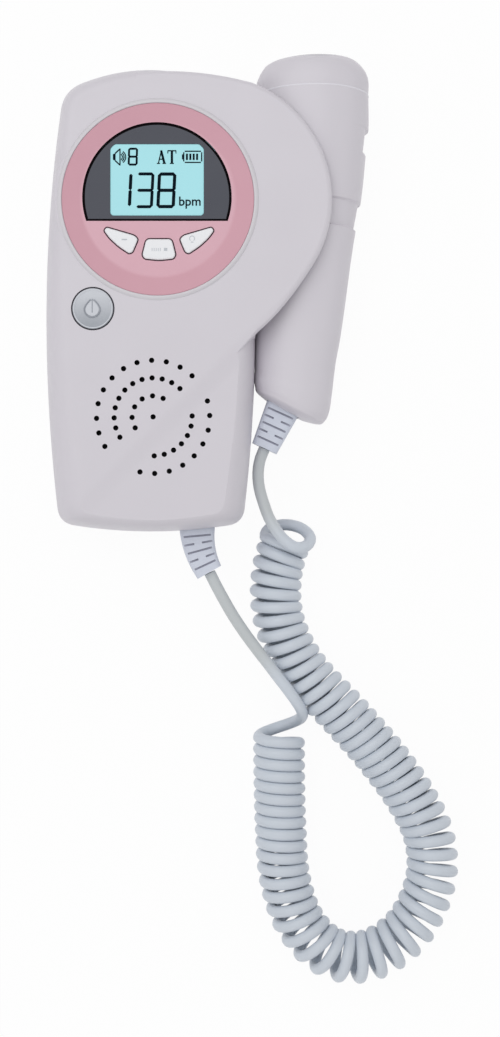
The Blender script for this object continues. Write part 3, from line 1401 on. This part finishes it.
class DOPPLER_OT_screws(bpy.types.Operator):
    """Builds the housing and probe screws with crossed slots."""

    bl_idname = "doppler.screws"
    bl_label = "Screws"

    def execute(self, context):
        for i, place in enumerate(SCREW_PLACES):
            self.screw("housing_screw_%d" % (i + 1), place, *HOUSING_SCREW, "unit")
        for i, place in enumerate(PROBE_SCREWS):
            self.screw("probe_screw_%d" % (i + 1), place, *PROBE_SCREW, "probe", PROBE_TURN)
        return {"FINISHED"}

    def screw(self, node, place, low, length, body, turn=None):
        """One screw: a shallow domed head over its shank, with a crossed slot cut into the head."""
        x, y = place
        r, shank = SCREW_HEAD_RADIUS, SCREW_SHANK_RADIUS
        profile = [(0, 0.0), (r * 0.55, 0.04), (r * 0.85, 0.2), (r, 0.5), (r, 1.7), (shank, 1.7), (shank, length),
                   (0, length)]
        obj = put("cross_" + node, turned(np.array(profile) + [0, low], place, 40), "steel", "recess")
        for a, b in (SCREW_SLOT, SCREW_SLOT[::-1]):
            cut(obj, block(x - a, x + a, y - b, y + b, low - 1, low + 0.9), index=1)
        complete(obj, body, "steel", node, keep_sharp=34, turn=turn)


# Strain reliefs and cord


def relief_solid(bend):
    """A tapered boot on a bent line: rounded square rings, with grooves that cross it by turns."""
    t = np.linspace(0, 1, 80)
    end_y = -RELIEF_LENGTH * math.sqrt(1 - (bend / RELIEF_LENGTH) ** 2)
    line = parabola(np.zeros(2), np.array([0, -RELIEF_LENGTH / 2]), np.array([bend, end_y]), t)
    line = np.concatenate([[[0, RELIEF_ROOT]], line])
    way = unit(np.gradient(line, axis=0))
    half = (RELIEF_WIDTH + (RELIEF_END_WIDTH - RELIEF_WIDTH) * np.concatenate([[0], t])) / 2
    across, up = rounded(oblong(1, -1, 1, -1), 0.55, 8).T
    rings = [lifted(p + np.outer(across * h, s), up * h * RELIEF_FLAT) for p, s, h in zip(line, left_of(way), half)]
    tools = []
    for i in range(SLOT_ROWS):
        k = 1 + int((i + 1) / (SLOT_ROWS + 1) * 79)
        tools += relief_slots(line[k], way[k], half[k], i % 2 == 0)
    return skin(rings), tools


def relief_slots(at, way, half, crossing):
    """Grooves of one row: over the top and bottom, or in from both sides."""
    wide = half * RELIEF_FLAT
    deep = wide - SLOT_DEPTH
    spans = [(-wide, wide)] if crossing else [(SPINE_HALF, half + 1), (-half - 1, -SPINE_HALF)]
    tools = []
    for a, b in spans:
        plan = rounded(oblong(a, b, -SLOT_HALF, SLOT_HALF), 0.15, 3)
        flat = at + np.outer(plan[:, 0], left_of(way)) + np.outer(plan[:, 1], way)
        tools += [plate(flat, deep, half + 1), plate(flat, -half - 1, -deep)]
    return tools


def helix_points(steps):
    """A left-hand helix on the coil's route: P + R (sin a, left of travel) + R (cos a, up), turns by pitch shares."""
    route = cord_curve([(x, y, COIL_Z) for x, y in COIL_ROUTE], 0.35)
    share = np.linspace(0, 1, 721)
    s = along(route)
    base = read_line(route, s, share * s[-1])
    pitch = np.interp((share[:-1] + share[1:]) / 2, *PITCH_SHARES.T)
    turns = np.concatenate([[0], np.cumsum(1 / pitch)])
    whole = COIL_CURLS + 0.5
    wanted = np.linspace(0, turns[-1], round(whole * steps) + 1)
    at = np.interp(wanted, turns, share)
    ahead = read_line(unit(np.gradient(base, axis=0)), share, at)
    left = lifted(left_of(ahead), 0)
    angle = TAU * (wanted / turns[-1] * whole - 0.25)[:, None]
    return read_line(base, share, at) + COIL_RADIUS * (np.sin(angle) * left + np.cos(angle) * np.array([0, 0, 1]))


def cord_lines(steps):
    """The cord's middle line from the probe to the unit, cut in two at a curl, and how many rows each lead has."""
    helix = helix_points(steps)
    coarse = helix_points(8)
    spacing = TAU * COIL_RADIUS / steps
    first = cord_curve([*PROBE_LEAD_ROUTE, *FIRST_CURL_ROUTE, coarse[0], coarse[1]], spacing)
    last = cord_curve([coarse[-2], coarse[-1], *LAST_CURL_ROUTE, *MAIN_LEAD_ROUTE], spacing)
    skip = round(steps / 8)
    line = np.concatenate([first[:-1], helix[skip : -skip or None], last[1:]])
    at = len(first) - 1 - skip + SPLIT_CURLS * steps
    leads = (PROBE_LEAD_ROUTE + FIRST_CURL_ROUTE[:4], MAIN_LEAD_ROUTE)
    return line[: at + 1], line[at:][::-1], *(len(evenly(np.array(lead), spacing)) for lead in leads)


def tube(line, radius):
    """Rings square to a line, turned on from ring to ring as little as can be."""
    way = unit(np.gradient(line, axis=0))
    normal = np.array([0.0, 0.0, 1.0])
    normals = []
    for w in way:
        normal = unit(normal - w * normal.dot(w))
        normals.append(normal)
    normals = np.array(normals)
    other = np.cross(way, normals)
    angle = round_angles(CORD_SIDES)[None, :, None]
    return line[:, None] + radius * (np.cos(angle) * normals[:, None] + np.sin(angle) * other[:, None])


class DOPPLER_OT_cord(bpy.types.Operator):
    """Builds the strain reliefs and the curly cord."""

    bl_idname = "doppler.cord"
    bl_label = "Cord and strain reliefs"

    def execute(self, context):
        self.relief("main_relief", MAIN_RELIEF_BEND, placed(MAIN_RELIEF), "unit", "strain_relief_main")
        turn = PROBE_TURN @ placed(PROBE_RELIEF, PROBE_RELIEF_TURN)
        self.relief("probe_relief", 0.0, turn, "probe", "strain_relief_probe")
        sizes = context.scene.doppler_sizes
        upper, lower, upper_lead, lower_lead = cord_lines(sizes.cord_steps)
        radius = sizes.cord_radius / MM
        top = self.stretch("cord_upper", upper, radius, upper_lead, "cord_lead_probe")
        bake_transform(top)
        base = self.stretch("cord_lower", lower, radius, lower_lead, "cord_coil", "cord_lead_main")
        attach(base, "unit")
        return {"FINISHED"}

    def stretch(self, name, line, radius, rows, *nodes):
        """One stretch of the cord. Its smooth lead is a little greyer: a share that fades out before a row of rings."""
        cord = put(name, skin(tube(line, radius)), "cord", keep_sharp=60)
        ring = np.arange(len(cord.data.vertices)) // CORD_SIDES
        share = cord.data.attributes.new("lead_share", "FLOAT", "POINT")
        share.data.foreach_set("value", np.clip((rows - ring) / LEAD_FADE, 0, 1))
        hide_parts(*nodes)
        return cord

    def relief(self, name, bend, turn, body, node):
        """One boot, cut by its grooves and put in its place."""
        solid, tools = relief_solid(bend)
        boot = put(name, solid, "boot", "boot_gap")
        cut(boot, *tools, index=1)
        complete(boot, body, "cord_grey", node, keep_sharp=40, turn=turn)


# Inside pieces, stage and camera


INSIDE = {
    "board": (linear(38, 92, 60), 0.45, "main_board", "probe_board"),
    "black": (linear(34, 34, 38), 0.5, "key_switch_left", "key_switch_center", "key_switch_right", "power_switch",
              "speaker"),
    "white": (linear(226, 227, 230), 0.4, "lcd_backlight", "cable_connector"),
    "cell": (linear(84, 98, 122), 0.35, "battery_left", "battery_right"),
    "cloth": (linear(40, 40, 44), 0.9, "speaker_cloth"),
    "crystal": (linear(214, 204, 170), 0.35, "crystal_transmit", "crystal_receive"),
    "damping": (linear(74, 74, 80), 0.85, "probe_backing"),
}


class DOPPLER_OT_inside(bpy.types.Operator):
    """Gives the pieces inside the housing their finishes."""

    bl_idname = "doppler.inside"
    bl_label = "Inside finishes"

    def execute(self, context):
        for name, (colour, roughness, *nodes) in INSIDE.items():
            self.paint(nodes, moulded("inside_" + name, colour, roughness, 1500, 0.00005, 0.04))
        self.paint(("contact_lower", "contact_upper"), metal("contact_plate", linear(196, 196, 198)))
        return {"FINISHED"}

    def paint(self, nodes, paint):
        """The same finish on each of several nodes."""
        for node in nodes:
            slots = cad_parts[node].data.materials
            slots.clear()
            slots.append(paint)


# Each light: its name, place, size and power
LIGHTS = (
    ("overhead", (-0.15, 0.3, 0.9), 0.9, 3.5),
    ("left", (-0.8, 0.1, 0.45), 0.7, 0.75),
    ("right", (0.85, 0.15, 0.5), 0.7, 1.0),
    ("low", (-0.1, -0.85, 0.4), 0.7, 1.2),
)
LIGHT_AIM = (0.02, -0.03, 0.01)
WHITE = {"Color": (1, 1, 1, 1), "Strength": 1.0}


class DOPPLER_OT_stage(bpy.types.Operator):
    """Sets the pale floor, the soft light and the camera."""

    bl_idname = "doppler.stage"
    bl_label = "Stage"

    def execute(self, context):
        self.floor()
        for row in LIGHTS:
            self.light(*row)
        self.world()
        camera = bpy.data.cameras.new("photo_camera")
        camera.lens = CAMERA_LENS
        camera.sensor_width = 36
        camera.clip_start = 0.01
        holder = linked("photo_camera", camera)
        holder.location = CAMERA_PLACE
        context.scene.camera = holder
        context.scene.view_settings.view_transform = "Standard"
        return {"FINISHED"}

    def floor(self):
        """A wide pale floor that shows nearly white to the camera and in gloss, and keeps a soft shadow."""
        size = FLOOR_HALF / MM
        corners = lifted(np.array(oblong(-size, size, -size, size)), 0)
        floor = put("floor", (corners, [[0, 1, 2, 3]]), keep_sharp=0)
        white, tree = new_material("floor_white", linear(244, 244, 245), 0.8, 0.0)
        path = add(tree, "LightPath").outputs
        seen = add(tree, "Math", {0: path["Is Camera Ray"], 1: path["Is Glossy Ray"]}, operation="MAXIMUM")
        share = add(tree, "Math", {0: seen.outputs[0], 1: FLOOR_WHITE}, operation="MULTIPLY").outputs[0]
        self.whiten(tree, share, "Principled BSDF", "Emission", "Material Output")
        floor.data.materials.append(white)

    def light(self, name, place, size, power):
        """A square soft light that faces the object's middle."""
        lamp = bpy.data.lights.new(name, "AREA")
        lamp.shape = "SQUARE"
        lamp.size = size
        lamp.energy = power
        holder = linked(name, lamp)
        holder.location = place
        holder.rotation_euler = (Vector(LIGHT_AIM) - Vector(place)).to_track_quat("-Z", "Y").to_euler()

    def world(self):
        """A soft even surround, which shows white to the camera."""
        world = bpy.data.worlds.new("surround")
        world.use_nodes = True
        bpy.context.scene.world = world
        tree = world.node_tree
        feed(tree, {**WHITE, "Strength": SURROUND}, tree.nodes["Background"])
        share = add(tree, "LightPath").outputs["Is Camera Ray"]
        self.whiten(tree, share, "Background", "Background", "World Output")

    def whiten(self, tree, share, base, kind, output):
        """The output goes from a shader that is there to a white one of a kind by a share."""
        white = add(tree, kind, WHITE)
        mix = add(tree, "MixShader", {"Fac": share, 1: tree.nodes[base].outputs[0], 2: white.outputs[0]})
        feed(tree, {"Surface": mix.outputs[0]}, tree.nodes[output])


class DOPPLER_PT_panel(bpy.types.Panel):
    """Lists the builders and the user's sizes and colours."""

    bl_idname = "DOPPLER_PT_panel"
    bl_label = "Fetal Doppler Monitor"
    bl_space_type = "VIEW_3D"
    bl_region_type = "UI"
    bl_category = "Doppler"

    def draw(self, context):
        for group in (context.scene.doppler_sizes, context.scene.doppler_colours):
            for name in group.__annotations__:
                self.layout.prop(group, name)
        for operator in OPERATORS:
            self.layout.operator(operator.bl_idname)


OPERATORS = (
    DOPPLER_OT_front,
    DOPPLER_OT_back,
    DOPPLER_OT_bezel,
    DOPPLER_OT_display,
    DOPPLER_OT_key_marks,
    DOPPLER_OT_power,
    DOPPLER_OT_probe,
    DOPPLER_OT_screws,
    DOPPLER_OT_cord,
    DOPPLER_OT_inside,
    DOPPLER_OT_stage,
)
CLASSES = (DopplerSizes, DopplerColours, *OPERATORS, DOPPLER_PT_panel)


def register():
    """Registers the classes and hangs the property groups on the scene."""
    for cls in CLASSES:
        bpy.utils.register_class(cls)
    bpy.types.Scene.doppler_sizes = bpy.props.PointerProperty(type=DopplerSizes)
    bpy.types.Scene.doppler_colours = bpy.props.PointerProperty(type=DopplerColours)


def unregister():
    """Takes the property groups and classes away again."""
    del bpy.types.Scene.doppler_sizes
    del bpy.types.Scene.doppler_colours
    for cls in reversed(CLASSES):
        bpy.utils.unregister_class(cls)


def main():
    """Builds every piece in order."""
    register()
    for operator in OPERATORS:
        group, name = operator.bl_idname.split(".")
        getattr(getattr(bpy.ops, group), name)()


if __name__ == "__main__":
    main()
